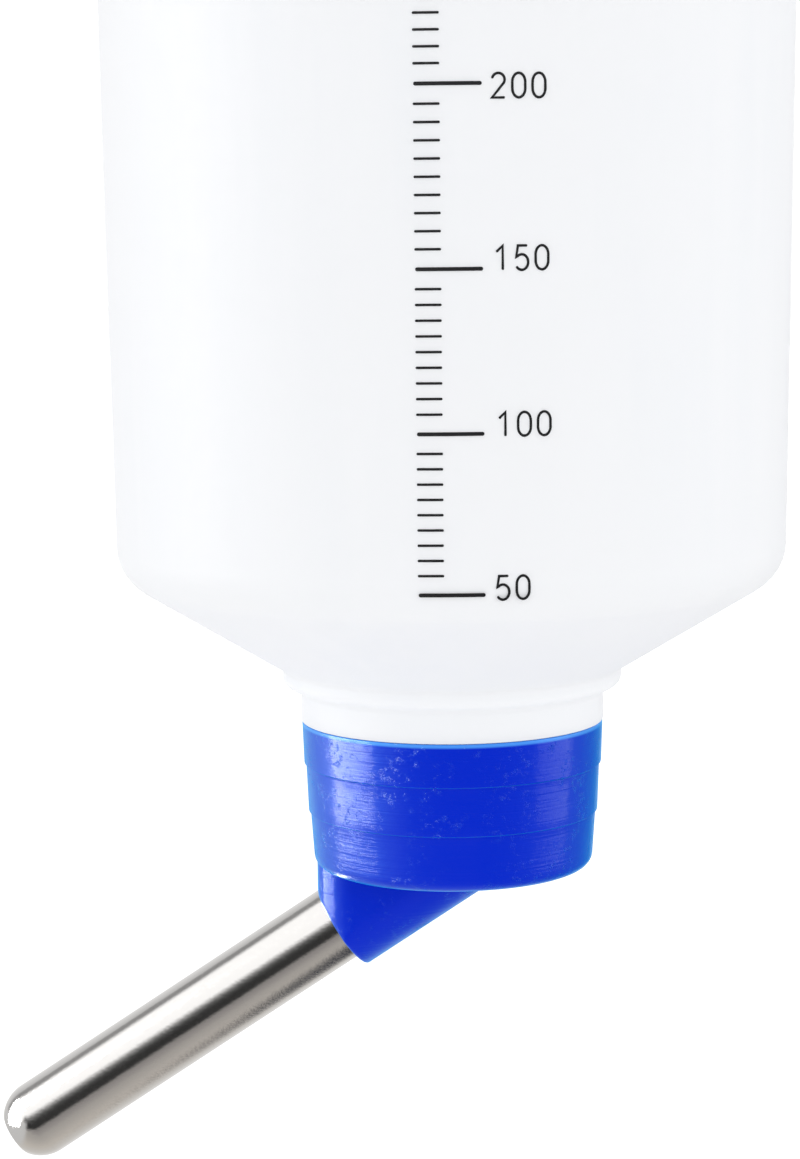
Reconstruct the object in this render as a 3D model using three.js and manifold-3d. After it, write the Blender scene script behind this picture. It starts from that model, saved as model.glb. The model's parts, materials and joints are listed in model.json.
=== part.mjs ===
// Hanging water bottle for a rabbit cage: a blow-moulded bottle, its screw cap with a slanted nose, the
// washer that seals them, and a steel drinking tube that two steel balls close from inside.
// Millimetres, +Z up. The bottle hangs mouth down and the tube points down towards -X. The origin is on
// the bottle's axis, level with the upper rim of the cap.
import * as THREE from "three";
import { mergeVertices } from "three/addons/utils/BufferGeometryUtils.js";
import Module from "manifold-3d";

const wasm = await Module();
wasm.setup();

// ---- Driving dimensions ----

// Bottle body
const bottleHeight = 180; // mouth to base
const shoulderRadius = 34; // outside, where the wall would meet the shoulder cone
const wallDraft = 0.012; // growth of the radius per millimetre above the shoulder
const bottleWall = 1;
const shoulderAngle = 31.3; // degrees from the horizontal
const shoulderFillet = 5;
const baseFillet = 6;
const baseRecessRadius = 17;
const baseRecessDepth = 2;

// Neck, from the mouth up to the shoulder
const neckRadius = 12.4; // outside, between the threads
const neckWall = 1.6;
const neckChamfer = 0.3; // on the outer edge of the mouth and of the collar
const neckLength = 11.8; // mouth to the underside of the collar
const collarHeight = 3.35;
const collarProud = 0.05; // the collar's radius over the cap's
const beadHeight = 1.85; // the ring between the collar and the shoulder cone
const beadOverhang = 1.85;
const beadChamfer = 0.75; // on the bead's lower edge

// Screw thread
const threadPitch = 4.2;
const threadHeight = 1.15;
const threadLead = 1.5; // mouth to the first ridge, and the last ridge to the collar or the rim
const threadTaper = 0.5; // the ridge narrows by this on each flank
const threadFade = 0.1; // turns over which a ridge rises from the wall
const threadStartRise = 0.1; // share of its height that a ridge has at its very end
const threadSink = 0.3; // how deep a ridge is sunk into the wall that it stands on

// Screw cap
const capWall = 1.6; // behind the thread at the upper rim
const capFloor = 1.8;
const capLip = 0.4; // chamfer on the upper rim
const upperBandHeight = 4.45;
const middleBandHeight = 5;
const upperBandDraft = 0.15; // how much the radius shrinks down each band
const middleBandDraft = 0.2;
const lowerBandDraft = 0.4;
const bandStep = 0.2;
const capFillet = 1.3;

// Nose, drinking tube and balls
const tubeDrop = 33.6; // degrees below the horizontal
const tubeRadius = 4;
const tubeWall = 0.5;
const tubeLength = 51.5; // inner end to the top of the dome, if that were closed
const tubeInsertion = 9.2;
const tubeLipThickness = 0.8;
const tubeLipChamfer = 0.4;
const tubeAxisAboveCapBase = 1.55; // where the tube's axis crosses the bottle's axis
const noseReach = 14.2; // that crossing to the nose's end face, which the tube leaves squarely
const noseWall = 1; // round the socket
const noseInset = 0.2; // how far the nose stays inside the cap's lower edge
const noseCorner = 2.8; // the upright corners of its outer end
const drinkingHoleRadius = 2.5;
const passageRadius = 2.5;
const ballRadius = 3;

// Washer
const washerThickness = 1.5;
const washerWidth = 2.7;

// Clearances
const threadClearance = 0.3; // radial, crest to root
const flankClearance = 0.2;
const rimGap = 0.3; // cap rim to collar
const seatGap = 0.2; // washer to mouth, and washer to cap floor
const socketClearance = 0.2; // radial, tube to nose
const socketDepthGap = 0.3; // tube's inner end to the shoulder of its socket
const ballGap = 0.15;

// Roundness of the turned shapes
const roundSteps = 48;
const smallRoundSteps = 32;
const noseSteps = 16;
const filletSteps = 4;
const cutMargin = 1; // how far a cut runs past the face that it opens

// ---- Derived sizes ----

const degrees = Math.PI / 180;
const mouthZ = rimGap - neckLength;
const baseZ = mouthZ + bottleHeight;
const washerTopZ = mouthZ - seatGap;
const washerBottomZ = washerTopZ - washerThickness;
const capFloorZ = washerBottomZ - seatGap;
const capBaseZ = capFloorZ - capFloor;

const boreRadius = neckRadius - neckWall;
const neckThreadRadius = neckRadius + threadHeight;
const capThreadRootRadius = neckThreadRadius + threadClearance;
const capSeatRadius = neckRadius + threadClearance;
const capRadius = capThreadRootRadius + capWall;
const middleBandRadius = capRadius - upperBandDraft - bandStep;
const lowerBandRadius = middleBandRadius - middleBandDraft - bandStep;
const capLowerRadius = lowerBandRadius - lowerBandDraft;
const collarRadius = capRadius + collarProud;

const ridgeWidth = threadPitch / 2 - flankClearance;
const neckThreadZ = mouthZ + threadLead;
const neckThreadTurns = (neckLength - 2 * threadLead - ridgeWidth / 2) / threadPitch;
const capThreadZ = neckThreadZ + threadPitch / 2;
const capThreadTurns = (-threadLead - ridgeWidth / 2 - capThreadZ) / threadPitch;

const tubeAxisZ = capBaseZ + tubeAxisAboveCapBase;
const tubeStart = noseReach - tubeInsertion;
const socketRadius = tubeRadius + socketClearance;
const noseRadius = socketRadius + noseWall;
const tubeBoreRadius = tubeRadius - tubeWall;
const domeCentre = tubeLength - tubeRadius;
const seatHeight = Math.sqrt(tubeBoreRadius ** 2 - drinkingHoleRadius ** 2);
const ballReach = Math.sqrt(ballRadius ** 2 - drinkingHoleRadius ** 2);
const tipBallAt = domeCentre + seatHeight - ballReach - ballGap;
const innerBallAt = tipBallAt - 2 * ballRadius - ballGap;

// ---- Materials ----

const milkyPlastic = new THREE.MeshStandardMaterial({
  color: 0xeef3f6,
  roughness: 0.35,
  transparent: true,
  opacity: 0.75,
});
const bluePlastic = new THREE.MeshStandardMaterial({ color: 0x0a35d8, roughness: 0.3 });
const polishedSteel = new THREE.MeshStandardMaterial({ color: 0xc9c7c2, roughness: 0.12, metalness: 1 });
const blackRubber = new THREE.MeshStandardMaterial({ color: 0x2a2a2c, roughness: 0.8 });

// ---- Helpers ----

const point = (radius, z) => new THREE.Vector2(radius, z);

// Points of a round corner of the outline, from angle a to angle b in degrees.
function arc(radius, z, fillet, a, b, steps = filletSteps) {
  return Array.from({ length: steps + 1 }, (_, i) => {
    const angle = (a + ((b - a) * i) / steps) * degrees;
    return point(radius + fillet * Math.cos(angle), z + fillet * Math.sin(angle));
  });
}

// A round solid about +Z from its outline, which runs anticlockwise with the axis on its left.
function turned(outline, steps = roundSteps) {
  return new THREE.LatheGeometry(outline, steps).rotateX(Math.PI / 2);
}

function ring(innerRadius, outerRadius, lowZ, highZ, steps) {
  const corners = [
    point(innerRadius, lowZ),
    point(outerRadius, lowZ),
    point(outerRadius, highZ),
    point(innerRadius, highZ),
    point(innerRadius, lowZ),
  ];
  return turned(corners, steps);
}

function rod(radius, lowZ, highZ, steps) {
  const corners = [point(0, lowZ), point(radius, lowZ), point(radius, highZ), point(0, highZ)];
  return turned(corners, steps);
}

// A helical ridge on a wall: a straight bar bent round +Z, narrow at its crest and fading at both ends.
function threadRidge(rootRadius, crestRadius, startZ, turns) {
  const steps = Math.ceil((turns * roundSteps) / 2);
  const bar = new THREE.BoxGeometry(1, 1, 1, 1, steps, 1);
  const position = bar.getAttribute("position");
  const sunkRadius = rootRadius - threadSink * Math.sign(crestRadius - rootRadius);
  for (let i = 0; i < position.count; i += 1) {
    const along = position.getY(i) + 0.5;
    const turn = along * turns;
    const rise = Math.min(1, threadStartRise + Math.min(turn, turns - turn) / threadFade);
    const atCrest = position.getX(i) > 0 === crestRadius > rootRadius;
    const radius = atCrest ? rootRadius + (crestRadius - rootRadius) * rise : sunkRadius;
    const width = atCrest ? ridgeWidth - 2 * threadTaper : ridgeWidth;
    const angle = turn * 2 * Math.PI;
    position.setXYZ(
      i,
      radius * Math.cos(angle),
      radius * Math.sin(angle),
      startZ + turn * threadPitch + position.getZ(i) * width,
    );
  }
  return bar;
}

// A closed geometry as a solid that can be joined and cut.
function solid(geometry) {
  const bare = geometry.index ? geometry.toNonIndexed() : geometry.clone();
  bare.deleteAttribute("normal");
  bare.deleteAttribute("uv");
  const merged = mergeVertices(bare, 1e-4);
  return new wasm.Manifold(
    new wasm.Mesh({
      numProp: 3,
      vertProperties: new Float32Array(merged.getAttribute("position").array),
      triVerts: new Uint32Array(merged.index.array),
    }),
  );
}

function geometryOf(body) {
  const mesh = body.getMesh();
  const geometry = new THREE.BufferGeometry();
  geometry.setAttribute("position", new THREE.BufferAttribute(mesh.vertProperties, 3));
  geometry.setIndex(new THREE.BufferAttribute(mesh.triVerts, 1));
  geometry.computeVertexNormals();
  return geometry;
}

function part(name, geometry, material) {
  const mesh = new THREE.Mesh(geometry, material);
  mesh.name = name;
  return mesh;
}

// Turns a geometry made about +Z onto the tube's axis, with its z = 0 where that meets the bottle's axis.
function onTubeAxis(geometry) {
  return geometry.rotateY(-(90 + tubeDrop) * degrees).translate(0, 0, tubeAxisZ);
}

// ---- Bottle ----

function bottleOutline() {
  const slope = Math.tan(shoulderAngle * degrees);
  const collarBottomZ = rimGap;
  const collarTopZ = collarBottomZ + collarHeight;
  const beadRadius = collarRadius + beadOverhang;
  const beadTopZ = collarTopZ + beadHeight;
  const cornerZ = beadTopZ + (shoulderRadius - beadRadius) * slope;
  const wallRadius = (z) => shoulderRadius + wallDraft * (z - cornerZ);

  // The fillet between cone and wall is tangent to both.
  const filletZ = cornerZ + shoulderFillet * Math.tan((45 - shoulderAngle / 2) * degrees);
  const filletRadius = shoulderRadius - shoulderFillet;
  const baseArcZ = baseZ - baseFillet;
  const outside = [
    point(boreRadius, mouthZ),
    point(neckRadius - neckChamfer, mouthZ),
    point(neckRadius, mouthZ + neckChamfer),
    point(neckRadius, collarBottomZ),
    point(collarRadius - neckChamfer, collarBottomZ),
    point(collarRadius, collarBottomZ + neckChamfer),
    point(collarRadius, collarTopZ),
    point(beadRadius - beadChamfer, collarTopZ),
    point(beadRadius, collarTopZ + beadChamfer),
    point(beadRadius, beadTopZ),
    ...arc(filletRadius, filletZ, shoulderFillet, shoulderAngle - 90, 0),
    ...arc(wallRadius(baseArcZ) - baseFillet, baseArcZ, baseFillet, 0, 90),
    point(baseRecessRadius, baseZ),
    point(baseRecessRadius - baseRecessDepth, baseZ - baseRecessDepth),
    point(0, baseZ - baseRecessDepth),
  ];

  // The inside follows the outside at the wall's thickness, and the neck is thicker.
  const throatRadius = collarRadius - neckWall;
  const coneInsideZ = beadTopZ + bottleWall / Math.cos(shoulderAngle * degrees);
  const innerFillet = shoulderFillet - bottleWall;
  const innerBaseFillet = baseFillet - bottleWall;
  const inside = [
    point(0, baseZ - baseRecessDepth - bottleWall),
    point(baseRecessRadius - baseRecessDepth + bottleWall / 2, baseZ - baseRecessDepth - bottleWall),
    point(baseRecessRadius + bottleWall / 2, baseZ - bottleWall),
    ...arc(wallRadius(baseArcZ) - baseFillet, baseArcZ, innerBaseFillet, 90, 0),
    ...arc(filletRadius, filletZ, innerFillet, 0, shoulderAngle - 90),
    point(throatRadius, coneInsideZ - (beadRadius - throatRadius) * slope),
    point(boreRadius, collarBottomZ + neckWall),
    point(boreRadius, mouthZ),
  ];
  return [...outside, ...inside];
}

function bottle() {
  const shell = solid(turned(bottleOutline()));
  const ridge = solid(threadRidge(neckRadius, neckThreadRadius, neckThreadZ, neckThreadTurns));
  return part("bottle", geometryOf(shell.add(ridge)), milkyPlastic);
}

// ---- Screw cap ----

function capOutline() {
  const middleTopZ = -upperBandHeight;
  const lowerTopZ = middleTopZ - middleBandHeight;
  return [
    point(0, capBaseZ),
    ...arc(capLowerRadius - capFillet, capBaseZ + capFillet, capFillet, -90, 0),
    point(lowerBandRadius, lowerTopZ),
    point(lowerBandRadius + bandStep, lowerTopZ + bandStep / 2),
    point(middleBandRadius, middleTopZ),
    point(middleBandRadius + bandStep, middleTopZ + bandStep / 2),
    point(capRadius, -capLip),
    point(capRadius - capLip, 0),
    point(capThreadRootRadius, 0),
    point(capThreadRootRadius, mouthZ + threadLead - ridgeWidth / 2),
    point(capSeatRadius, mouthZ + threadClearance),
    point(capSeatRadius, capFloorZ),
    point(0, capFloorZ),
  ];
}

// The nose's section across the tube's axis: half round below it, with upright sides above it.
function noseSection() {
  const rise = capBaseZ - tubeAxisZ + noseReach * Math.sin(tubeDrop * degrees) + capFloor;
  const height = rise / Math.cos(tubeDrop * degrees);
  return new THREE.Shape()
    .moveTo(height, -noseRadius)
    .lineTo(0, -noseRadius)
    .absarc(0, 0, noseRadius, -Math.PI / 2, Math.PI / 2, true)
    .lineTo(height, noseRadius);
}

// What the nose may fill, seen from above: it follows the cap's edge and has round upright corners.
function noseLimit() {
  const reach = capLowerRadius - noseInset;
  const cornerY = noseRadius - noseCorner;
  const cornerAngle = Math.asin(cornerY / (reach - noseCorner));
  const cornerX = -(reach - noseCorner) * Math.cos(cornerAngle);
  return new THREE.Shape()
    .moveTo(noseReach, 2 * noseRadius)
    .lineTo(cornerX, noseRadius)
    .absarc(cornerX, cornerY, noseCorner, Math.PI / 2, Math.PI - cornerAngle)
    .absarc(0, 0, reach, Math.PI - cornerAngle, Math.PI + cornerAngle)
    .absarc(cornerX, -cornerY, noseCorner, Math.PI + cornerAngle, 1.5 * Math.PI)
    .lineTo(noseReach, -2 * noseRadius);
}

// The slanted boss under the cap that holds the tube.
function nose() {
  const start = -noseReach / 2;
  const along = { depth: noseReach - start, bevelEnabled: false, curveSegments: noseSteps };
  const sleeve = new THREE.ExtrudeGeometry(noseSection(), along).translate(0, 0, start);
  const lowZ = capBaseZ - 2 * noseReach;
  const highZ = capBaseZ + capFloor / 2;
  const upright = { depth: highZ - lowZ, bevelEnabled: false, curveSegments: noseSteps };
  const limit = new THREE.ExtrudeGeometry(noseLimit(), upright).translate(0, 0, lowZ);
  return solid(onTubeAxis(sleeve)).intersect(solid(limit));
}

// The socket that takes the tube, and the smaller passage from it to the inside of the cap.
function socket() {
  const shoulder = tubeStart - socketDepthGap;
  const opening = solid(onTubeAxis(rod(socketRadius, shoulder, noseReach + cutMargin, smallRoundSteps)));
  const slant = tubeDrop * degrees;
  const aboveFloor = capFloorZ - tubeAxisZ + passageRadius * Math.cos(slant);
  const passageStart = -aboveFloor / Math.sin(slant) - cutMargin;
  const passageEnd = shoulder + cutMargin;
  const passage = solid(onTubeAxis(rod(passageRadius, passageStart, passageEnd, smallRoundSteps)));
  return opening.add(passage);
}

function screwCap() {
  const shell = solid(turned(capOutline()));
  const crestRadius = neckRadius + threadClearance;
  const ridge = solid(threadRidge(capThreadRootRadius, crestRadius, capThreadZ, capThreadTurns));
  const body = shell.add(nose()).subtract(socket()).add(ridge);
  return part("screw_cap", geometryOf(body), bluePlastic);
}

function sealingWasher() {
  const washer = ring(neckRadius - washerWidth, neckRadius, washerBottomZ, washerTopZ);
  return part("sealing_washer", washer, blackRubber);
}

// ---- Drinking tube and balls, in a group that lies along the tube's axis ----

function drinkingTube() {
  const holeAngle = Math.acos(drinkingHoleRadius / tubeRadius) / degrees;
  const boreHoleAngle = Math.acos(drinkingHoleRadius / tubeBoreRadius) / degrees;
  const outline = [
    point(drinkingHoleRadius, 0),
    point(tubeRadius - tubeLipChamfer, 0),
    point(tubeRadius, tubeLipChamfer),
    ...arc(0, domeCentre, tubeRadius, 0, holeAngle),
    ...arc(0, domeCentre, tubeBoreRadius, boreHoleAngle, 0),
    point(tubeBoreRadius, tubeLipThickness),
    point(drinkingHoleRadius, tubeLipThickness),
    point(drinkingHoleRadius, 0),
  ];
  return part("drinking_tube", turned(outline, smallRoundSteps), polishedSteel);
}

function ball(name, along) {
  const sphere = new THREE.SphereGeometry(ballRadius, 20, 14);
  const mesh = part(name, sphere, polishedSteel);
  mesh.position.z = along;
  return mesh;
}

// ---- Assembly ----

const tubeGroup = new THREE.Group();
const tubeDirection = new THREE.Group();
tubeGroup.position.z = tubeAxisZ;
tubeGroup.rotation.y = -(90 + tubeDrop) * degrees;
tubeDirection.position.z = tubeStart;
tubeDirection.add(drinkingTube(), ball("tip_ball", tipBallAt), ball("inner_ball", innerBallAt));
tubeGroup.add(tubeDirection);

const waterBottle = new THREE.Group();
waterBottle.name = "rabbit_water_bottle";
waterBottle.add(bottle(), sealingWasher(), screwCap(), tubeGroup);

export default waterBottle;
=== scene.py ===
"""A hanging water bottle for a rabbit cage: the looks of each piece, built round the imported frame.

Metres, +Z up. The origin is on the bottle's axis, level with the upper rim of the screw cap. The bottle
hangs mouth down, and the drinking tube points down towards -X.
"""
import json
import math

import bmesh
import bpy
import numpy as np
from mathutils import Matrix, Vector

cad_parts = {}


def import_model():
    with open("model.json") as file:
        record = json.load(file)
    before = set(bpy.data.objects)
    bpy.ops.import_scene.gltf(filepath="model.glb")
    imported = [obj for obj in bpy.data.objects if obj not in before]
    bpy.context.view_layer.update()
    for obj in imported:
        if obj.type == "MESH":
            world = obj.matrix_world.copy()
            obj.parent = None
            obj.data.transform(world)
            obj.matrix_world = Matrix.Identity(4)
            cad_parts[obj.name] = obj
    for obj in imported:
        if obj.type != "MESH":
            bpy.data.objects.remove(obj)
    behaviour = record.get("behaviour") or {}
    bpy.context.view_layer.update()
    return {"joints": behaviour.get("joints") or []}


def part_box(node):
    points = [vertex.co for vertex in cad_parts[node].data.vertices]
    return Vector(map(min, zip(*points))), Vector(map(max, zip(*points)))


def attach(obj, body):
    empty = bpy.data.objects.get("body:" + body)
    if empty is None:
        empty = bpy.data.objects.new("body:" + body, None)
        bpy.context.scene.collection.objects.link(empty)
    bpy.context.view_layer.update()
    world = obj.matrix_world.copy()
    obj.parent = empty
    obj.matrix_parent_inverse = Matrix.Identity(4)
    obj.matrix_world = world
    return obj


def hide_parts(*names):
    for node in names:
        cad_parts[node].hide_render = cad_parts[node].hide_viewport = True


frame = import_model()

MM = 0.001

# ---- Places from the frame ----

bottle_low, bottle_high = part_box("bottle")
cap_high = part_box("screw_cap")[1]
washer_low, washer_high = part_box("sealing_washer")
MOUTH_Z = bottle_low.z
BASE_Z = bottle_high.z
CAP_RADIUS = cap_high.x
WASHER_RADIUS = washer_high.x

# The tube's axis points up into the bottle, as the tip ball's joint does.
tube_up = Vector(next(j["axis"] for j in frame["joints"] if j["name"] == "tip_ball_push")).normalized()
tip_ball_centre = sum(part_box("tip_ball"), Vector()) / 2
inner_ball_centre = sum(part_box("inner_ball"), Vector()) / 2
BALL_RADIUS = (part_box("tip_ball")[1].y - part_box("tip_ball")[0].y) / 2
TUBE_CROSSING = tip_ball_centre - tube_up * (tip_ball_centre.x / tube_up.x)

# ---- Sizes ----

# Bottle
WALL_DRAFT = 0.012
BOTTLE_WALL = 1 * MM
SHOULDER_RADIUS = 34 * MM
SHOULDER_ANGLE = math.radians(31.3)
SHOULDER_FILLET = 5 * MM
BASE_FILLET = 6 * MM
BASE_RECESS_RADIUS = 17 * MM
BASE_RECESS_DEPTH = 2 * MM
PARTING_RIDGE = 0.05 * MM
PARTING_WIDTH = 0.35 * MM

# Neck
NECK_RADIUS = WASHER_RADIUS
NECK_WALL = 1.6 * MM
COLLAR_PROUD = 0.05 * MM
COLLAR_LOW_Z = 0.06 * MM
COLLAR_TOP_Z = 3.65 * MM
BEAD_HEIGHT = 1.85 * MM
BEAD_OVERHANG = 1.85 * MM

# Screw thread
THREAD_PITCH = 4.2 * MM
THREAD_HEIGHT = 1.15 * MM
THREAD_LEAD = 1.5 * MM
THREAD_TAPER = 0.5 * MM
THREAD_FADE = 0.1
THREAD_START_RISE = 0.1
THREAD_CREST_FILLET = 0.25 * MM
THREAD_WIDTH = THREAD_PITCH / 2 - 0.2 * MM
THREAD_CLEARANCE = 0.3 * MM
THREAD_SINK = 0.3 * MM

# Screw cap
CAP_FLOOR = 1.8 * MM
SEAT_GAP = 0.2 * MM
CAP_FLOOR_Z = washer_low.z - SEAT_GAP
CAP_BASE_Z = CAP_FLOOR_Z - CAP_FLOOR
UPPER_BAND_Z = -4.45 * MM
MIDDLE_BAND_Z = -9.45 * MM
UPPER_BAND_DRAFT = 0.15 * MM
MIDDLE_BAND_DRAFT = 0.2 * MM
LOWER_BAND_DRAFT = 0.4 * MM
BAND_STEP = 0.2 * MM
CAP_LIP = 0.15 * MM
CAP_FILLET = 1.3 * MM

# Nose and drinking tube
NOSE_REACH = 14.2 * MM
NOSE_WALL = 1 * MM
NOSE_INSET = 0.2 * MM
NOSE_CORNER = 2.8 * MM
NOSE_EDGE = 0.3 * MM
TUBE_RADIUS = 4 * MM
TUBE_WALL = 0.5 * MM
TUBE_LENGTH = 51.5 * MM
TUBE_INSERTION = 9.2 * MM
TUBE_LIP = 0.8 * MM
SOCKET_CLEARANCE = 0.2 * MM
SOCKET_DEPTH_GAP = 0.3 * MM
DRINKING_HOLE_RADIUS = 2.5 * MM
PASSAGE_RADIUS = 2.5 * MM

WASHER_WIDTH = 2.7 * MM

# Printed scale. Each numbered volume's long mark, then where its digits start round the wall and
# how far their feet stand below the mark. The marks go on at an even step to the last volume.
LONG_MARKS = {
    50: (17.33 * MM, math.radians(8.5), 0.57 * MM),
    100: (32.06 * MM, math.radians(8.8), 0.36 * MM),
    150: (46.92 * MM, math.radians(8.5), 0.25 * MM),
    200: (63.37 * MM, math.radians(8.1), 1.41 * MM),
}
LAST_VOLUME = 500
UPPER_STEP = 15.38 * MM
MARKS_BETWEEN = 9
MARK_MARGIN = 1.78 * MM
SCALE_LEFT = math.radians(-3.6)
LONG_MARK = 6.1 * MM
SHORT_MARK = 2.4 * MM
LONG_MARK_THICKNESS = 0.35 * MM
SHORT_MARK_THICKNESS = 0.23 * MM
DIGIT_PITCH = 1.85 * MM
STROKE = 0.23 * MM
INK_THICKNESS = 0.03 * MM

# Camera, which looks along +Y a little from the left and from above
LENS = 93.2
CAMERA_DISTANCE = 307.4 * MM
CAMERA_PITCH = math.radians(7.44)
CAMERA_TURN = math.radians(-2.67)
CAMERA_ROLL = math.radians(-0.6)
CAMERA_AIM = Vector((-5.23 * MM, -0.24 * MM, 14.4 * MM))

# Studio
FLOOR_Z = -120 * MM
FLOOR_RADIUS = 3
CEILING_BRIGHTNESS = 1.33
TENT_BRIGHTNESS = 1.15
BACKDROP = (1.05, 1.05, 1.05)

# ---- Derived sizes ----

BORE_RADIUS = NECK_RADIUS - NECK_WALL
THREAD_RADIUS = NECK_RADIUS + THREAD_HEIGHT
CAP_BORE_RADIUS = THREAD_RADIUS + THREAD_CLEARANCE
CAP_SEAT_RADIUS = NECK_RADIUS + THREAD_CLEARANCE
MIDDLE_BAND_RADIUS = CAP_RADIUS - UPPER_BAND_DRAFT - BAND_STEP
LOWER_BAND_RADIUS = MIDDLE_BAND_RADIUS - MIDDLE_BAND_DRAFT - BAND_STEP
CAP_LOWER_RADIUS = LOWER_BAND_RADIUS - LOWER_BAND_DRAFT
COLLAR_RADIUS = CAP_RADIUS + COLLAR_PROUD
BEAD_RADIUS = COLLAR_RADIUS + BEAD_OVERHANG
BEAD_TOP_Z = COLLAR_TOP_Z + BEAD_HEIGHT
SHOULDER_Z = BEAD_TOP_Z + (SHOULDER_RADIUS - BEAD_RADIUS) * math.tan(SHOULDER_ANGLE)
NECK_THREAD_Z = MOUTH_Z + THREAD_LEAD
NECK_THREAD_TURNS = (COLLAR_LOW_Z - MOUTH_Z - 2 * THREAD_LEAD - THREAD_WIDTH / 2) / THREAD_PITCH
CAP_THREAD_Z = NECK_THREAD_Z + THREAD_PITCH / 2
CAP_THREAD_TURNS = (-THREAD_LEAD - THREAD_WIDTH / 2 - CAP_THREAD_Z) / THREAD_PITCH
SOCKET_RADIUS = TUBE_RADIUS + SOCKET_CLEARANCE
NOSE_RADIUS = SOCKET_RADIUS + NOSE_WALL
TUBE_START = NOSE_REACH - TUBE_INSERTION
TUBE_BORE = TUBE_RADIUS - TUBE_WALL

ROUND_STEPS = 192
THREAD_STEPS = 96


def wall_radius(z):
    """The bottle's outside radius at height z, above its shoulder."""
    return SHOULDER_RADIUS + WALL_DRAFT * (z - SHOULDER_Z)


# ---- Mesh helpers ----


def link(obj):
    bpy.context.scene.collection.objects.link(obj)
    return obj


def mesh_object(name, vertices, faces):
    """A closed mesh with its faces pointing out."""
    mesh = bpy.data.meshes.new(name)
    mesh.from_pydata([tuple(v) for v in vertices], [], faces)
    shape = bmesh.new()
    shape.from_mesh(mesh)
    bmesh.ops.recalc_face_normals(shape, faces=shape.faces)
    shape.to_mesh(mesh)
    shape.free()
    return link(bpy.data.objects.new(name, mesh))


def rounded(corners, steps=6):
    """A closed outline through (radius, z, fillet) corners, each rounded by its own fillet."""
    outline = []
    for i, (radius, z, fillet) in enumerate(corners):
        corner = Vector((radius, z))
        if fillet == 0:
            outline.append(corner)
            continue
        back = (Vector(corners[i - 1][:2]) - corner).normalized()
        ahead = (Vector(corners[(i + 1) % len(corners)][:2]) - corner).normalized()
        half = back.angle(ahead) / 2
        centre = corner + (back + ahead).normalized() * (fillet / math.sin(half))
        start = corner + back * (fillet / math.tan(half)) - centre
        end = corner + ahead * (fillet / math.tan(half)) - centre
        for k in range(steps + 1):
            outline.append(centre + start.slerp(end, k / steps).normalized() * fillet)
    return outline


def split(outline, longest):
    """The same closed outline with its long straight stretches cut into pieces no longer than this."""
    points = []
    for i, point in enumerate(outline):
        ahead = outline[(i + 1) % len(outline)]
        count = max(1, math.ceil((ahead - point).length / longest))
        for k in range(count):
            points.append(point.lerp(ahead, k / count))
    return points


def turned(name, outline, steps=ROUND_STEPS):
    """A round closed mesh about +Z from a closed outline of (radius, z) points."""
    vertices = []
    rows = []
    angles = [2 * math.pi * k / steps for k in range(steps)]
    for radius, z in outline:
        if radius < 1e-9:
            rows.append([len(vertices)] * steps)
            vertices.append((0, 0, z))
        else:
            rows.append(list(range(len(vertices), len(vertices) + steps)))
            vertices.extend((radius * math.cos(a), radius * math.sin(a), z) for a in angles)
    faces = []
    for row, ahead in zip(rows, rows[1:] + rows[:1]):
        for k in range(steps):
            after = (k + 1) % steps
            corners = [row[k], row[after], ahead[after], ahead[k]]
            ring = [v for i, v in enumerate(corners) if v != corners[i - 1]]
            if len(ring) > 2:
                faces.append(ring)
    return mesh_object(name, vertices, faces)


def lofted(name, rings):
    """A closed mesh through rings of the same number of points, with a flat face at each end."""
    count = len(rings[0])
    vertices = [v for ring in rings for v in ring]
    faces = []
    for i in range(len(rings) - 1):
        for k in range(count):
            a = i * count + k
            b = i * count + (k + 1) % count
            faces.append([a, b, b + count, a + count])
    faces.append(list(range(count))[::-1])
    faces.append(list(range((len(rings) - 1) * count, len(rings) * count)))
    return mesh_object(name, vertices, faces)


def combine(target, tool, operation):
    """Joins or cuts target with tool, which is used up."""
    modifier = target.modifiers.new(operation, "BOOLEAN")
    modifier.operation = operation
    modifier.solver = "EXACT"
    modifier.object = tool
    graph = bpy.context.evaluated_depsgraph_get()
    mesh = bpy.data.meshes.new_from_object(target.evaluated_get(graph))
    target.modifiers.clear()
    target.data = mesh
    bpy.data.objects.remove(tool)
    return target


def shade(obj, sharpest=32):
    """Smooth shading that breaks at edges over this many degrees, and stays flat on large faces."""
    shape = bmesh.new()
    shape.from_mesh(obj.data)
    bmesh.ops.remove_doubles(shape, verts=shape.verts, dist=1e-7)
    for face in shape.faces:
        face.smooth = True
    for edge in shape.edges:
        edge.smooth = edge.calc_face_angle(0) < math.radians(sharpest)
    shape.to_mesh(obj.data)
    shape.free()
    weighted = obj.modifiers.new("weighted_normals", "WEIGHTED_NORMAL")
    weighted.keep_sharp = True
    return obj


def thread_ridge(name, root, crest, start_z, turns):
    """A right-hand helical ridge on a wall, with a rounded crest and ends that fade into the wall."""
    outward = 1 if crest > root else -1
    wide = THREAD_WIDTH / 2
    narrow = wide - THREAD_TAPER
    height = abs(crest - root)
    corners = [
        (-THREAD_SINK, -wide, 0),
        (0, -wide, 0),
        (height, -narrow, THREAD_CREST_FILLET),
        (height, narrow, THREAD_CREST_FILLET),
        (0, wide, 0),
        (-THREAD_SINK, wide, 0),
    ]
    section = rounded(corners, 4)
    rings = []
    for i in range(math.ceil(turns * THREAD_STEPS) + 1):
        turn = min(i / THREAD_STEPS, turns)
        fade = min(1, THREAD_START_RISE + min(turn, turns - turn) / THREAD_FADE)
        angle = 2 * math.pi * turn
        ring = []
        for out, along in section:
            radius = root + outward * (out * fade if out > 0 else out)
            z = start_z + turn * THREAD_PITCH + along
            ring.append((radius * math.cos(angle), radius * math.sin(angle), z))
        rings.append(ring)
    return lofted(name, rings)


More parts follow.
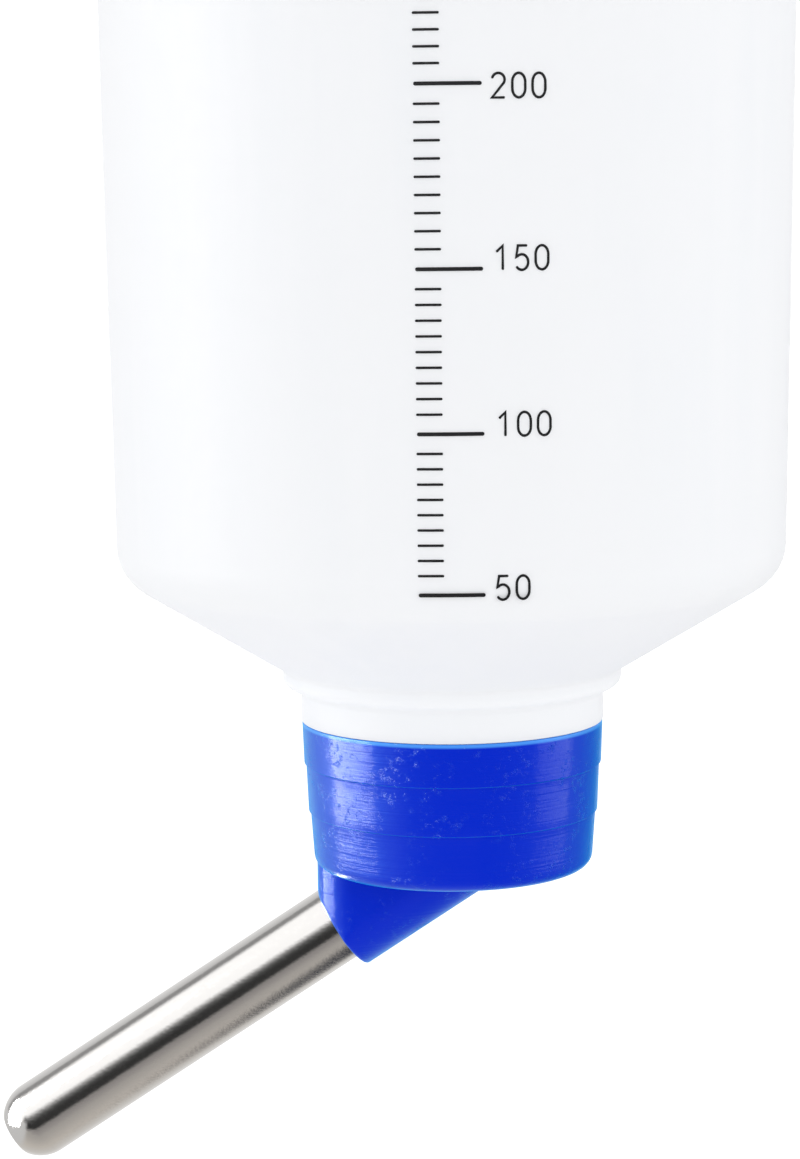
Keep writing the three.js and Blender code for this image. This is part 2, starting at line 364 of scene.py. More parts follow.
def tube_frame(distance=0):
    """The matrix that lays a shape made about +Z along the tube, that far down from the crossing."""
    down = -tube_up
    across = Vector((0, 1, 0))
    rotation = Matrix((across.cross(down), across, down)).transposed().to_4x4()
    return Matrix.Translation(TUBE_CROSSING + down * distance) @ rotation


def placed(obj, matrix):
    obj.data.transform(matrix)
    return obj


# ---- Node helpers ----


class Material:
    """A node material about one Principled shader, with short ways to add what feeds it."""

    def __init__(self, name, colour, roughness, **values):
        self.material = bpy.data.materials.new(name)
        self.material.use_nodes = True
        self.tree = self.material.node_tree
        self.shader = self.tree.nodes["Principled BSDF"]
        self.set("Base Color", (*colour, 1))
        self.set("Roughness", roughness)
        for socket, value in values.items():
            self.set(socket.replace("_", " "), value)
        self.place = self.node("TexCoord").outputs["Object"]

    def set(self, socket, value):
        self.shader.inputs[socket].default_value = value

    def node(self, kind, **values):
        made = self.tree.nodes.new("ShaderNode" + kind)
        for key, value in values.items():
            setattr(made, key, value)
        return made

    def join(self, source, target):
        self.tree.links.new(source, target)

    def scaled(self, factors):
        """Object coordinates times these factors, one an axis."""
        mapping = self.node("Mapping")
        mapping.inputs["Scale"].default_value = factors
        self.join(self.place, mapping.inputs["Vector"])
        return mapping.outputs["Vector"]

    def noise(self, size, detail=3, stretch=(1, 1, 1), rough=0.5):
        """Noise with features about this size in metres, longer along an axis by its stretch."""
        texture = self.node("TexNoise")
        texture.inputs["Scale"].default_value = 1
        texture.inputs["Detail"].default_value = detail
        texture.inputs["Roughness"].default_value = rough
        factors = [1 / (size * s) for s in stretch]
        self.join(self.scaled(factors), texture.inputs["Vector"])
        return texture.outputs["Fac"]

    def ramp(self, source, low, high, to_low=0.0, to_high=1.0):
        """source mapped smoothly from low..high to to_low..to_high."""
        mapped = self.node("MapRange", interpolation_type="SMOOTHSTEP")
        mapped.inputs["From Min"].default_value = low
        mapped.inputs["From Max"].default_value = high
        mapped.inputs["To Min"].default_value = to_low
        mapped.inputs["To Max"].default_value = to_high
        self.join(source, mapped.inputs["Value"])
        return mapped.outputs["Result"]

    def math(self, operation, first, second):
        made = self.node("Math", operation=operation)
        for socket, value in zip(made.inputs, (first, second)):
            if isinstance(value, (int, float)):
                socket.default_value = value
            else:
                self.join(value, socket)
        return made.outputs[0]

    def colours(self, factor, first, second):
        """A colour between first and second by factor."""
        mixed = self.node("Mix", data_type="RGBA")
        self.join(factor, mixed.inputs[0])
        for socket, value in ((mixed.inputs[6], first), (mixed.inputs[7], second)):
            if isinstance(value, tuple):
                socket.default_value = (*value, 1)
            else:
                self.join(value, socket)
        return mixed.outputs[2]

    def feed(self, socket, source):
        self.join(source, self.shader.inputs[socket])

    def bumps(self, *layers):
        """Bump from (height source, depth in metres) layers, one over the other."""
        normal = None
        for source, depth in layers:
            bump = self.node("Bump")
            bump.inputs["Strength"].default_value = 1
            bump.inputs["Distance"].default_value = depth
            self.join(source, bump.inputs["Height"])
            if normal is not None:
                self.join(normal, bump.inputs["Normal"])
            normal = bump.outputs["Normal"]
        self.feed("Normal", normal)

    def height(self):
        """The z of object coordinates."""
        parts = self.node("SeparateXYZ")
        self.join(self.place, parts.inputs[0])
        return parts.outputs["Z"]


def dressed(obj, material):
    obj.data.materials.clear()
    obj.data.materials.append(material)
    return obj


# ---- Materials ----


def milky_plastic():
    """Natural polyethylene: milky, satin, with faint flow lines down the wall."""
    made = Material("milky_plastic", (0.9, 0.91, 0.93), 0.5, Subsurface_Weight=0.35, IOR=1.5)
    made.set("Specular IOR Level", 0.03)
    made.set("Subsurface Radius", (1.0, 1.0, 1.0))
    made.set("Subsurface Scale", 2 * MM)
    flow = made.noise(6 * MM, 3, (1, 1, 12))
    cloud = made.noise(22 * MM, 2)
    tone = made.colours(made.ramp(flow, 0.35, 0.65), (0.888, 0.905, 0.94), (0.908, 0.92, 0.952))
    made.feed("Base Color", made.colours(made.ramp(cloud, 0.3, 0.7), tone, (0.903, 0.915, 0.945)))
    made.feed("Roughness", made.ramp(made.noise(1.5 * MM, 4), 0.3, 0.7, 0.46, 0.54))
    made.bumps((flow, 0.06 * MM), (made.noise(0.35 * MM, 3), 0.004 * MM))
    return made.material


def blue_plastic():
    """Moulded polypropylene: deep ultramarine, glossy, scuffed, with fine lines round the mould.

    The thin edge of the cap's rim lets light through, so a paler blue is painted into the base colour
    there: a painted glow, not the plastic's own colour.
    """
    deep = (0.0, 0.0095, 0.6)
    worn = (0.004, 0.085, 0.86)
    made = Material("blue_plastic", deep, 0.42, IOR=1.5, Sheen_Weight=1.0, Sheen_Roughness=0.4)
    made.set("Specular Tint", (0.02, 0.42, 1.0, 1))
    made.set("Sheen Tint", (0.0, 0.5, 1.0, 1))
    made.set("Specular IOR Level", 0.35)
    made.set("Coat Weight", 0.4)
    made.set("Coat Roughness", 0.16)
    made.set("Coat IOR", 1.38)
    scuffs = made.ramp(made.noise(0.9 * MM, 8, (1, 1, 0.8), 0.75), 0.52, 0.72)
    patches = made.ramp(made.noise(4 * MM, 3), 0.4, 0.62)
    marks = made.math("MULTIPLY", scuffs, patches)
    rings = made.noise(0.5 * MM, 2, (60, 60, 0.5))
    body = made.colours(made.math("MULTIPLY", marks, 0.15), deep, worn)
    # Painted glow: the base colour turns a paler blue at the top of the rim, standing in for light
    # through its thin edge.
    rim = made.ramp(made.height(), -0.5 * MM, -0.2 * MM)
    made.feed("Base Color", made.colours(rim, body, (0.07, 0.3, 0.92)))
    made.feed("Roughness", made.ramp(marks, 0.0, 1.0, 0.4, 0.5))
    dents = made.noise(2.5 * MM, 3)
    made.bumps((rings, 0.02 * MM), (marks, 0.03 * MM), (dents, 0.045 * MM))
    made.join(made.shader.inputs["Normal"].links[0].from_socket, made.shader.inputs["Coat Normal"])
    return made.material


def tube_steel():
    """Polished stainless steel with the faint mottle of drawn tube."""
    made = Material("tube_steel", (0.72, 0.705, 0.69), 0.1, Metallic=1.0)
    mottle = made.noise(0.25 * MM, 4, (1.6, 1, 1), 0.65)
    made.feed("Roughness", made.ramp(mottle, 0.3, 0.7, 0.06, 0.15))
    made.bumps((mottle, 0.008 * MM), (made.noise(6 * MM, 2), 0.02 * MM))
    return made.material


def ball_steel():
    """Bearing balls: brighter and smoother than the tube, with fine scratches."""
    made = Material("ball_steel", (0.74, 0.74, 0.74), 0.07, Metallic=1.0)
    scratches = made.noise(0.2 * MM, 3, (6, 1, 1))
    made.feed("Roughness", made.ramp(scratches, 0.4, 0.7, 0.05, 0.14))
    made.bumps((scratches, 0.001 * MM))
    return made.material


def washer_rubber():
    """Matt black rubber with a fine grain."""
    made = Material("washer_rubber", (0.02, 0.02, 0.022), 0.75)
    grain = made.noise(0.15 * MM, 4)
    made.feed("Base Color", made.colours(grain, (0.014, 0.014, 0.016), (0.035, 0.035, 0.038)))
    made.bumps((grain, 0.01 * MM))
    return made.material


def scale_ink():
    """Screen-printed black ink, a little thin in places."""
    made = Material("scale_ink", (0.004, 0.004, 0.006), 0.45)
    thin = made.ramp(made.noise(0.3 * MM, 3), 0.6, 0.8)
    made.feed("Base Color", made.colours(thin, (0.003, 0.003, 0.005), (0.02, 0.022, 0.028)))
    made.bumps((made.noise(0.12 * MM, 2), 0.004 * MM))
    return made.material


# ---- Bottle ----


def bottle_outline():
    slope = math.tan(SHOULDER_ANGLE)
    recess = BASE_RECESS_RADIUS - BASE_RECESS_DEPTH
    floor_z = BASE_Z - BASE_RECESS_DEPTH
    base_radius = wall_radius(BASE_Z)
    throat = COLLAR_RADIUS - NECK_WALL
    inner_cone_z = BEAD_TOP_Z + BOTTLE_WALL / math.cos(SHOULDER_ANGLE)
    inner_shoulder = SHOULDER_RADIUS - BOTTLE_WALL
    inner_shoulder_z = inner_cone_z + (inner_shoulder - BEAD_RADIUS) * slope
    outside = [
        (BORE_RADIUS, MOUTH_Z, 0.3 * MM),
        (NECK_RADIUS, MOUTH_Z, 0.4 * MM),
        (NECK_RADIUS, COLLAR_LOW_Z, 0.4 * MM),
        (COLLAR_RADIUS, COLLAR_LOW_Z, 0.1 * MM),
        (COLLAR_RADIUS, COLLAR_TOP_Z, 0.85 * MM),
        (BEAD_RADIUS, COLLAR_TOP_Z, 0.95 * MM),
        (BEAD_RADIUS, BEAD_TOP_Z, 0.7 * MM),
        (SHOULDER_RADIUS, SHOULDER_Z, SHOULDER_FILLET),
        (base_radius, BASE_Z, BASE_FILLET),
        (BASE_RECESS_RADIUS, BASE_Z, 0.8 * MM),
        (recess, floor_z, 0.8 * MM),
        (0, floor_z, 0),
    ]
    inside = [
        (0, floor_z - BOTTLE_WALL, 0),
        (recess + BOTTLE_WALL / 2, floor_z - BOTTLE_WALL, 0.8 * MM),
        (BASE_RECESS_RADIUS + BOTTLE_WALL / 2, BASE_Z - BOTTLE_WALL, 0.8 * MM),
        (base_radius - BOTTLE_WALL, BASE_Z - BOTTLE_WALL, BASE_FILLET - BOTTLE_WALL),
        (inner_shoulder, inner_shoulder_z, SHOULDER_FILLET - BOTTLE_WALL),
        (throat, inner_cone_z - (BEAD_RADIUS - throat) * slope, 1 * MM),
        (BORE_RADIUS, COLLAR_LOW_Z + NECK_WALL, 0.5 * MM),
    ]
    return split(rounded(outside + inside), 3 * MM)


def add_parting_line(obj):
    """The mould's faint parting ridge, down both sides of the bottle above the collar."""
    for vertex in obj.data.vertices:
        radius = math.hypot(vertex.co.x, vertex.co.y)
        if vertex.co.z < COLLAR_LOW_Z or radius < COLLAR_RADIUS - NECK_WALL / 2:
            continue
        off = abs(vertex.co.y) / PARTING_WIDTH
        grow = 1 + PARTING_RIDGE * math.exp(-off * off) / radius
        vertex.co.x *= grow
        vertex.co.y *= grow


def bottle():
    shell = turned("moulded_bottle", bottle_outline(), 256)
    add_parting_line(shell)
    ridge = thread_ridge("neck_ridge", NECK_RADIUS, THREAD_RADIUS, NECK_THREAD_Z, NECK_THREAD_TURNS)
    combine(shell, ridge, "UNION")
    return shade(shell)


# ---- Printed scale ----


def on_wall(along, z, lift):
    """A point on the wall, from its distance round it from the foremost line and its height."""
    radius = wall_radius(z)
    angle = along / radius
    return Vector(((radius + lift) * math.sin(angle), -(radius + lift) * math.cos(angle), z))


def stroke_ends(path, width):
    """The path with extra points near its ends, and each point's share of the width, for round ends."""
    shares = []
    points = []
    for i, point in enumerate(path):
        if 0 < i < len(path) - 1:
            points.append(point)
            shares.append(1)
            continue
        inward = (path[1] - path[0] if i == 0 else path[-2] - path[-1]).normalized()
        steps = [(0, 0.35), (0.12, 0.75), (0.4, 1)]
        end = [(point + inward * (width * reach), share) for reach, share in steps]
        for made, share in end if i == 0 else end[::-1]:
            points.append(made)
            shares.append(share)
    return points, shares


def ribbon_rings(path, width, closed=False):
    """The corner points of a thin ribbon of ink that follows a flat path over the wall."""
    if closed:
        points, shares = path, [1] * len(path)
    else:
        points, shares = stroke_ends(path, width)
    rings = []
    for i, point in enumerate(points):
        before = points[i - 1] if closed or i > 0 else point
        after = points[(i + 1) % len(points)] if closed or i < len(points) - 1 else point
        into = (point - before).normalized() if before != point else (after - point).normalized()
        out = (after - point).normalized() if after != point else into
        along = (into + out).normalized()
        side = Vector((-along.y, along.x))
        half = side * (width / 2 * shares[i] / max(0.5, along.dot(into)))
        left, right = point + half, point - half
        rings.append(
            [
                on_wall(left.x, left.y, -INK_THICKNESS),
                on_wall(left.x, left.y, INK_THICKNESS),
                on_wall(right.x, right.y, INK_THICKNESS),
                on_wall(right.x, right.y, -INK_THICKNESS),
            ]
        )
    return rings


def add_ribbon(vertices, faces, rings, closed):
    """Adds one closed ribbon to a growing mesh."""
    first = len(vertices)
    count = len(rings)
    vertices.extend(v for ring in rings for v in ring)
    for i in range(count if closed else count - 1):
        a = first + 4 * i
        b = first + 4 * ((i + 1) % count)
        for k in range(4):
            after = (k + 1) % 4
            faces.append([a + k, b + k, b + after, a + after])
    if not closed:
        faces.append([first + k for k in range(4)])
        faces.append([first + 4 * (count - 1) + k for k in range(3, -1, -1)])


def bow(centre, radii, start, end, steps=10):
    """Points on an ellipse from one angle to another, in degrees."""
    angles = [math.radians(start + (end - start) * k / steps) for k in range(steps + 1)]
    return [(centre[0] + radii[0] * math.cos(a), centre[1] + radii[1] * math.sin(a)) for a in angles]


DIGIT_WIDTH = 1.18
DIGIT_HEIGHT = 2.16


def digit_path(digit):
    """The middle line of a plain thin digit in millimetres, from its lower left corner."""
    w, h = DIGIT_WIDTH, DIGIT_HEIGHT
    half = w / 2
    if digit == "0":
        top = bow((half, h - 0.8), (half, 0.8), 0, 180, 14)
        bottom = bow((half, 0.8), (half, 0.8), 180, 360, 14)
        return top + bottom
    if digit == "1":
        return [(0.1, h - 0.55), (0.68, h), (0.68, 0)]
    if digit == "2":
        return bow((half, h - 0.58), (half - 0.02, 0.58), 170, -28, 14) + [(0.02, 0), (w, 0)]
    if digit == "3":
        upper = bow((half, h - 0.53), (half - 0.06, 0.53), 155, -90, 12)
        return upper + bow((half, 0.56), (half, 0.56), 90, -160, 14)[1:]
    if digit == "4":
        return [(w - 0.3, 0), (w - 0.3, h), (0, 0.55), (w, 0.55)]
    if digit == "5":
        stem = [(w - 0.1, h), (0.22, h), (0.06, h - 1.02)]
        return stem + bow((half - 0.02, 0.68), (half, 0.7), 128, -148, 16)
    raise ValueError("no path for " + digit)


def long_marks():
    """Every numbered volume's mark and the place of its digits, as in LONG_MARKS."""
    marks = dict(LONG_MARKS)
    last = max(marks)
    for volume in range(last + 50, LAST_VOLUME + 1, 50):
        z, digits_left, digits_drop = marks[volume - 50]
        marks[volume] = (z + UPPER_STEP, digits_left, digits_drop)
    return marks


def mark_ribbon(vertices, faces, z, length, thickness):
    left = SCALE_LEFT * wall_radius(z) + thickness / 2
    path = [Vector((left + length * k / 6, z)) for k in range(7)]
    add_ribbon(vertices, faces, ribbon_rings(path, thickness), False)


def scale_marks():
    """The graduations: a long mark each 50 ml and short ones each 5 ml between them."""
    vertices, faces = [], []
    marks = sorted(z for z, _, _ in long_marks().values())
    for z in marks:
        mark_ribbon(vertices, faces, z, LONG_MARK, LONG_MARK_THICKNESS)
    for low, high in zip(marks, marks[1:]):
        pitch = (high - low - 2 * MARK_MARGIN) / (MARKS_BETWEEN - 1)
        for k in range(MARKS_BETWEEN):
            z = low + MARK_MARGIN + k * pitch
            mark_ribbon(vertices, faces, z, SHORT_MARK, SHORT_MARK_THICKNESS)
    return mesh_object("scale_marks", vertices, faces)


def scale_numbers():
    """The volume in millilitres beside each long mark."""
    vertices, faces = [], []
    for volume, (z, digits_left, digits_drop) in long_marks().items():
        for i, digit in enumerate(str(volume)):
            left = digits_left * wall_radius(z) + i * DIGIT_PITCH + STROKE / 2
            corner = Vector((left, z - digits_drop + STROKE / 2))
            path = [corner + Vector(p) * MM for p in digit_path(digit)]
            closed = digit == "0"
            add_ribbon(vertices, faces, ribbon_rings(path, STROKE, closed), closed)
    return mesh_object("scale_numbers", vertices, faces)


# ---- Screw cap ----


def cap_outline():
    corners = [
        (0, CAP_BASE_Z, 0),
        (CAP_LOWER_RADIUS, CAP_BASE_Z, CAP_FILLET),
        (LOWER_BAND_RADIUS, MIDDLE_BAND_Z, 0.06 * MM),
        (LOWER_BAND_RADIUS + BAND_STEP, MIDDLE_BAND_Z + 0.12 * MM, 0.08 * MM),
        (MIDDLE_BAND_RADIUS, UPPER_BAND_Z, 0.06 * MM),
        (MIDDLE_BAND_RADIUS + BAND_STEP, UPPER_BAND_Z + 0.12 * MM, 0.08 * MM),
        (CAP_RADIUS, 0, CAP_LIP),
        (CAP_BORE_RADIUS, 0, 0.2 * MM),
        (CAP_BORE_RADIUS, MOUTH_Z + THREAD_LEAD - THREAD_WIDTH / 2, 0.2 * MM),
        (CAP_SEAT_RADIUS, MOUTH_Z + THREAD_CLEARANCE, 0.2 * MM),
        (CAP_SEAT_RADIUS, CAP_FLOOR_Z, 0.3 * MM),
        (0, CAP_FLOOR_Z, 0),
    ]
    return split(rounded(corners), 1.5 * MM)


def round_max(first, second, radius):
    """Where two shapes given by their depth fields meet, with an edge rounded by radius."""
    both = np.hypot(np.maximum(first + radius, 0), np.maximum(second + radius, 0)) - radius
    inside = np.maximum(first, second)
    return np.where(np.minimum(first, second) > -radius, both, inside)


def nose_depth(points):
    """How far points lie outside the nose's side faces, less than nothing inside."""
    from_crossing = points - np.array(TUBE_CROSSING)
    along = from_crossing @ np.array(-tube_up)
    above_axis = from_crossing[:, 2] + along * tube_up.z
    across_axis = above_axis / abs(tube_up.x)
    x, y = points[:, 0], points[:, 1]
    sides = np.hypot(y, np.minimum(across_axis, 0)) - NOSE_RADIUS
    cap_edge = np.hypot(x, y) - (CAP_LOWER_RADIUS - NOSE_INSET)
    upright = round_max(np.abs(y) - NOSE_RADIUS, cap_edge, NOSE_CORNER)
    lid = points[:, 2] - (CAP_BASE_Z + CAP_FLOOR / 2)
    return np.maximum(np.maximum(sides, upright), lid)


def nose_ring(along, inset=0.0, steps=144):
    """The nose's outline across the tube's axis, that far along it and that far inside its faces."""
    to_world = np.array(tube_frame(along))
    up = to_world[:3, 0]
    lid_height = (CAP_BASE_Z + CAP_FLOOR / 2 - to_world[2, 3]) / up[2]
    edge_height = (CAP_LOWER_RADIUS - NOSE_INSET + to_world[0, 3]) / -up[0]
    middle = (min(lid_height, edge_height) - NOSE_RADIUS) / 2
    centre = to_world[:3, 3] + up * middle
    angles = np.linspace(0, 2 * np.pi, steps, endpoint=False) + np.pi / steps
    rays = np.outer(np.cos(angles), up) + np.outer(np.sin(angles), to_world[:3, 1])
    near = np.zeros(steps)
    far = np.full(steps, 3 * NOSE_RADIUS)
    for _ in range(40):
        half = (near + far) / 2
        inside = nose_depth(centre + rays * half[:, None]) < -inset
        near = np.where(inside, half, near)
        far = np.where(inside, far, half)
    return centre + rays * near[:, None]


def nose():
    """The slanted boss, from where it leaves the cap's floor to the face that the tube comes out of."""
    slant = math.asin(tube_up.z)
    lid = CAP_BASE_Z + CAP_FLOOR / 2 - TUBE_CROSSING.z
    start = -(lid + NOSE_RADIUS * math.cos(slant)) / math.sin(slant) + 0.1 * MM
    end = NOSE_REACH - NOSE_EDGE
    rings = [nose_ring(along) for along in np.linspace(start, end, 90)]
    for k in range(1, 6):
        angle = math.pi / 2 * k / 5
        inset = NOSE_EDGE * (1 - math.cos(angle))
        rings.append(nose_ring(end + NOSE_EDGE * math.sin(angle), inset))
    return lofted("nose", rings)


def rod(name, radius, low, high, steps=96):
    """A round bar along the tube's axis."""
    corners = [Vector((0, low)), Vector((radius, low)), Vector((radius, high)), Vector((0, high))]
    return placed(turned(name, corners, steps), tube_frame())


def screw_cap():
    cap = turned("cap_moulding", cap_outline(), 240)
    combine(cap, nose(), "UNION")
    shoulder = TUBE_START - SOCKET_DEPTH_GAP
    combine(cap, rod("socket", SOCKET_RADIUS, shoulder, NOSE_REACH + 2 * MM), "DIFFERENCE")
    combine(cap, rod("passage", PASSAGE_RADIUS, -6 * MM, shoulder + 1 * MM), "DIFFERENCE")
    crest = NECK_RADIUS + THREAD_CLEARANCE
    ridge = thread_ridge("cap_ridge", CAP_BORE_RADIUS, crest, CAP_THREAD_Z, CAP_THREAD_TURNS)
    combine(cap, ridge, "UNION")
    return shade(cap)


def washer():
    """A flat rubber ring with rounded edges and two low beads on its upper face."""
    inner = WASHER_RADIUS - WASHER_WIDTH
    bead = 0.08 * MM
    top = [(WASHER_RADIUS, washer_high.z, 0.25 * MM)]
    for share in (0.7, 0.35):
        middle = inner + WASHER_WIDTH * share
        top.append((middle + 0.3 * MM, washer_high.z, 0.1 * MM))
        top.append((middle, washer_high.z + bead, 0.1 * MM))
        top.append((middle - 0.3 * MM, washer_high.z, 0.1 * MM))
    corners = [(inner, washer_low.z, 0.25 * MM), (WASHER_RADIUS, washer_low.z, 0.25 * MM)]
    corners += top + [(inner, washer_high.z, 0.25 * MM)]
    return shade(turned("rubber_washer", rounded(corners)))


# ---- Drinking tube and balls ----


def tube():
    """A drawn tube with a rounded tip that is open in the middle and a lip at its inner end."""
    dome = TUBE_LENGTH - TUBE_RADIUS
    rim = 0.5 * (TUBE_RADIUS - TUBE_BORE)
    hole_angle = math.acos(DRINKING_HOLE_RADIUS / (TUBE_RADIUS - rim))
    outline = rounded(
        [
            (DRINKING_HOLE_RADIUS, 0, 0.2 * MM),
            (TUBE_RADIUS, 0, 0.4 * MM),
            (TUBE_RADIUS, dome, 0),
        ]
    )
    for k in range(1, 25):
        angle = hole_angle * k / 24
        outline.append(Vector((TUBE_RADIUS * math.cos(angle), dome + TUBE_RADIUS * math.sin(angle))))
    middle = TUBE_RADIUS - rim
    lip = Vector((middle * math.cos(hole_angle), dome + middle * math.sin(hole_angle)))
    for k in range(1, 8):
        angle = hole_angle + math.pi * k / 8
        outline.append(lip + Vector((math.cos(angle), math.sin(angle))) * rim)
    for k in range(16, -1, -1):
        angle = hole_angle * k / 16
        outline.append(Vector((TUBE_BORE * math.cos(angle), dome + TUBE_BORE * math.sin(angle))))
    outline.append(Vector((TUBE_BORE, TUBE_LIP)))
    outline.append(Vector((DRINKING_HOLE_RADIUS, TUBE_LIP)))
    made = turned("steel_tube", split(outline, 2 * MM), 160)
    return shade(placed(made, tube_frame(TUBE_START)))


def ball(name, centre):
    angles = [math.pi * (k / 48 - 0.5) for k in range(49)]
    outline = [Vector((BALL_RADIUS * math.cos(a), BALL_RADIUS * math.sin(a))) for a in angles]
    outline[0].x = outline[-1].x = 0
    return shade(placed(turned(name, outline, 96), Matrix.Translation(centre)))


# ---- Studio ----


def camera():
    """A long lens, level with the cap and a little above it."""
    forward = Vector(
        (
            math.sin(CAMERA_TURN) * math.cos(CAMERA_PITCH),
            math.cos(CAMERA_TURN) * math.cos(CAMERA_PITCH),
            -math.sin(CAMERA_PITCH),
        )
    )
    level = Vector((math.cos(CAMERA_TURN), -math.sin(CAMERA_TURN), 0))
    up = level.cross(forward)
    right = level * math.cos(CAMERA_ROLL) + up * math.sin(CAMERA_ROLL)
    up = right.cross(forward)
    made = link(bpy.data.objects.new("camera", bpy.data.cameras.new("camera")))
    made.data.lens = LENS
    made.data.sensor_width = 36
    rotation = Matrix((right, up, -forward)).transposed().to_4x4()
    made.matrix_world = Matrix.Translation(CAMERA_AIM - forward * CAMERA_DISTANCE) @ rotation
    bpy.context.scene.camera = made


def softbox(name, place, aim, size, power, diffuse=True, glossy=True):
    """A rectangular studio light, with the kinds of ray that see it."""
    light = bpy.data.lights.new(name, "AREA")
    light.shape = "RECTANGLE"
    light.size, light.size_y = size
    light.energy = power
    made = link(bpy.data.objects.new(name, light))
    place = Vector(place)
    made.location = place
    made.rotation_euler = (Vector(aim) - place).to_track_quat("-Z", "Y").to_euler()
    made.visible_camera = False
    made.visible_diffuse = diffuse
    made.visible_glossy = glossy
    return made


def lights():
    softbox("left_softbox", (-0.6, -0.07, 0.075), (0, 0, 0.075), (0.46, 0.54), 20, diffuse=False)
    softbox("right_softbox", (0.7, -0.04, 0.08), (0, 0, 0.08), (0.42, 0.63), 3.2, diffuse=False)


class WorldNodes:
    """The nodes of the world, with short ways to make values from a ray's direction."""

    def __init__(self, tree):
        self.tree = tree
        tree.nodes.clear()
        parts = self.node("SeparateXYZ")
        self.join(self.node("TexCoord").outputs["Generated"], parts.inputs[0])
        self.x, self.y, self.z = parts.outputs

    def node(self, kind, **values):
        made = self.tree.nodes.new("ShaderNode" + kind)
        for key, value in values.items():
            setattr(made, key, value)
        return made

    def join(self, source, target):
        self.tree.links.new(source, target)

    def fill(self, socket, value):
        """Sets a socket from a number or a colour, or links it to another socket."""
        if isinstance(value, tuple):
            socket.default_value = (*value, 1)
        elif isinstance(value, (int, float)):
            socket.default_value = value
        else:
            self.join(value, socket)

    def share(self, source):
        """A direction's part from -1..1 as 0..1."""
        made = self.node("MapRange")
        made.inputs["From Min"].default_value = -1
        self.join(source, made.inputs["Value"])
        return made.outputs["Result"]

    def rise(self, source, low, high):
        """Smoothly from 0 at low to 1 at high, which may be the lower number."""
        made = self.node("MapRange", interpolation_type="SMOOTHSTEP")
        made.inputs["From Min"].default_value = low
        made.inputs["From Max"].default_value = high
        self.join(source, made.inputs["Value"])
        return made.outputs["Result"]

    def ramp(self, source, *stops):
        """A colour from (position, grey or colour) stops."""
        made = self.node("ValToRGB")
        elements = made.color_ramp.elements
        elements.remove(elements[1])
        for i, (position, value) in enumerate(stops):
            element = elements[0] if i == 0 else elements.new(position)
            element.position = position
            colour = value if isinstance(value, tuple) else (value, value, value)
            element.color = (*colour, 1)
        self.join(source, made.inputs["Fac"])
        return made.outputs["Color"]

    def both(self, operation, first, second):
        made = self.node("Math", operation=operation)
        self.fill(made.inputs[0], first)
        self.fill(made.inputs[1], second)
        return made.outputs[0]

    def mixed(self, factor, first, second, blend="MIX"):
        made = self.node("Mix", data_type="RGBA", blend_type=blend)
        self.fill(made.inputs[0], factor)
        self.fill(made.inputs[6], first)
        self.fill(made.inputs[7], second)
        return made.outputs[2]

    def scaled(self, colour, scale):
        made = self.node("VectorMath", operation="SCALE")
        made.inputs["Scale"].default_value = scale
        self.join(colour, made.inputs[0])
        return made.outputs[0]


def mirrored_studio(nodes):
    """What shiny surfaces mirror, from the back of the set at +Y to the camera at -Y."""
    x, y, z = nodes.x, nodes.y, nodes.z
    # Above: a bright ceiling with a darker gap behind the set.
    ceiling = nodes.ramp(
        nodes.share(y),
        (0, 1),
        (0.53, 1),
        (0.575, 0.75),
        (0.635, 0.25),
        (0.735, 0.25),
        (0.79, 0.52),
        (1, 0.7),
    )
    # Below: a warm grey table that brightens towards the back.
    table = nodes.ramp(
        nodes.share(y),
        (0, (0.24, 0.235, 0.23)),
        (0.07, (0.36, 0.34, 0.33)),
        (0.13, (0.46, 0.44, 0.415)),
        (0.45, (0.66, 0.62, 0.57)),
        (0.7, (0.73, 0.71, 0.68)),
        (1, (0.95, 0.95, 0.95)),
    )
    room = nodes.mixed(nodes.rise(z, -0.02, 0.02), table, nodes.scaled(ceiling, CEILING_BRIGHTNESS))
    # In front: the dark room round the camera, which fades up into the ceiling.
    dark = nodes.ramp(
        nodes.share(z),
        (0.45, 0.03),
        (0.5, 0.05),
        (0.545, 0.1),
        (0.587, 0.24),
        (0.628, 0.64),
        (0.66, 1),
    )
    level = nodes.both("MULTIPLY", nodes.rise(z, -0.4, -0.3), nodes.rise(z, 0.4, 0.36))
    facing = nodes.both("MULTIPLY", nodes.rise(y, -0.62, -0.75), level)
    room = nodes.mixed(facing, room, nodes.scaled(dark, CEILING_BRIGHTNESS))
    # To both sides below the height of the set: more dark room on the right, a grey screen on the left.
    beside = nodes.both("MAXIMUM", nodes.rise(x, 0.28, 0.4), nodes.rise(x, -0.5, -0.7))
    band = nodes.both("MULTIPLY", beside, nodes.rise(z, 0.04, -0.04))
    sides = nodes.mixed(nodes.rise(x, -0.1, 0.1), (0.7, 0.7, 0.7), (0.04, 0.045, 0.06))
    return nodes.mixed(band, room, sides)


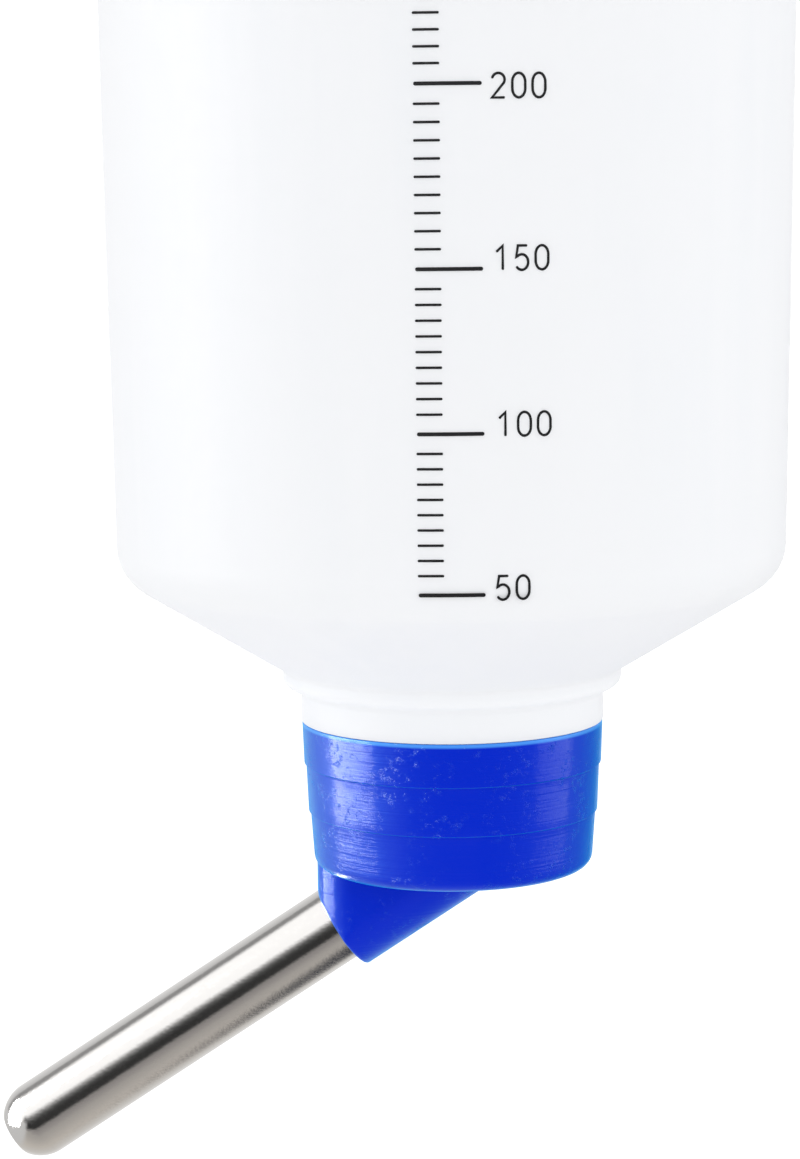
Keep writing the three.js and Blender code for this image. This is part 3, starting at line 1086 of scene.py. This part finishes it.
def light_tent(nodes):
    """What lights matt surfaces: an even tent, a little dimmer below, in front and behind."""
    height = nodes.ramp(nodes.share(nodes.z), (0, 0.9), (0.5, 0.97), (1, 1))
    depth = nodes.ramp(nodes.share(nodes.y), (0, 0.93), (0.5, 1), (1, 0.88))
    return nodes.scaled(nodes.mixed(1, height, depth, "MULTIPLY"), TENT_BRIGHTNESS)


def world():
    """A white studio: a plain backdrop for the camera, and its own light for shiny and matt surfaces."""
    made = bpy.data.worlds.new("studio")
    bpy.context.scene.world = made
    made.use_nodes = True
    nodes = WorldNodes(made.node_tree)
    path = nodes.node("LightPath")
    seen = nodes.mixed(path.outputs["Is Glossy Ray"], light_tent(nodes), mirrored_studio(nodes))
    colour = nodes.mixed(path.outputs["Is Camera Ray"], seen, BACKDROP)
    shader = nodes.node("Background")
    nodes.join(colour, shader.inputs["Color"])
    nodes.join(shader.outputs[0], nodes.node("OutputWorld").inputs["Surface"])
    made.cycles.sampling_method = "NONE"


def floor():
    """A plain pale disc well below the bottle."""
    corners = [Vector((0, FLOOR_Z - 0.01)), Vector((FLOOR_RADIUS, FLOOR_Z - 0.01))]
    corners += [Vector((FLOOR_RADIUS, FLOOR_Z)), Vector((0, FLOOR_Z))]
    made = turned("floor", corners, 64)
    surface = Material("floor", (0.9, 0.9, 0.9), 0.8)
    surface.set("Emission Color", (1, 1, 1, 1))
    surface.set("Emission Strength", 0.3)
    dressed(made, surface.material)
    made.visible_glossy = False
    made.visible_diffuse = False


def studio():
    scene = bpy.context.scene
    scene.view_settings.view_transform = "Standard"
    camera()
    lights()
    world()
    floor()


# ---- Assembly ----


def fit(piece, material, body, node=None):
    """Gives a finished piece its material and body, and hides the CAD node that it stands for."""
    dressed(piece, material)
    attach(piece, body)
    if node:
        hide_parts(node)


studio()
ink = scale_ink()
balls = ball_steel()
fit(bottle(), milky_plastic(), "bottle_body", "bottle")
fit(scale_marks(), ink, "bottle_body")
fit(scale_numbers(), ink, "bottle_body")
fit(washer(), washer_rubber(), "washer_body", "sealing_washer")
fit(screw_cap(), blue_plastic(), "cap_body", "screw_cap")
fit(tube(), tube_steel(), "cap_body", "drinking_tube")
fit(ball("steel_tip_ball", tip_ball_centre), balls, "tip_ball_body", "tip_ball")
fit(ball("steel_inner_ball", inner_ball_centre), balls, "inner_ball_body", "inner_ball")
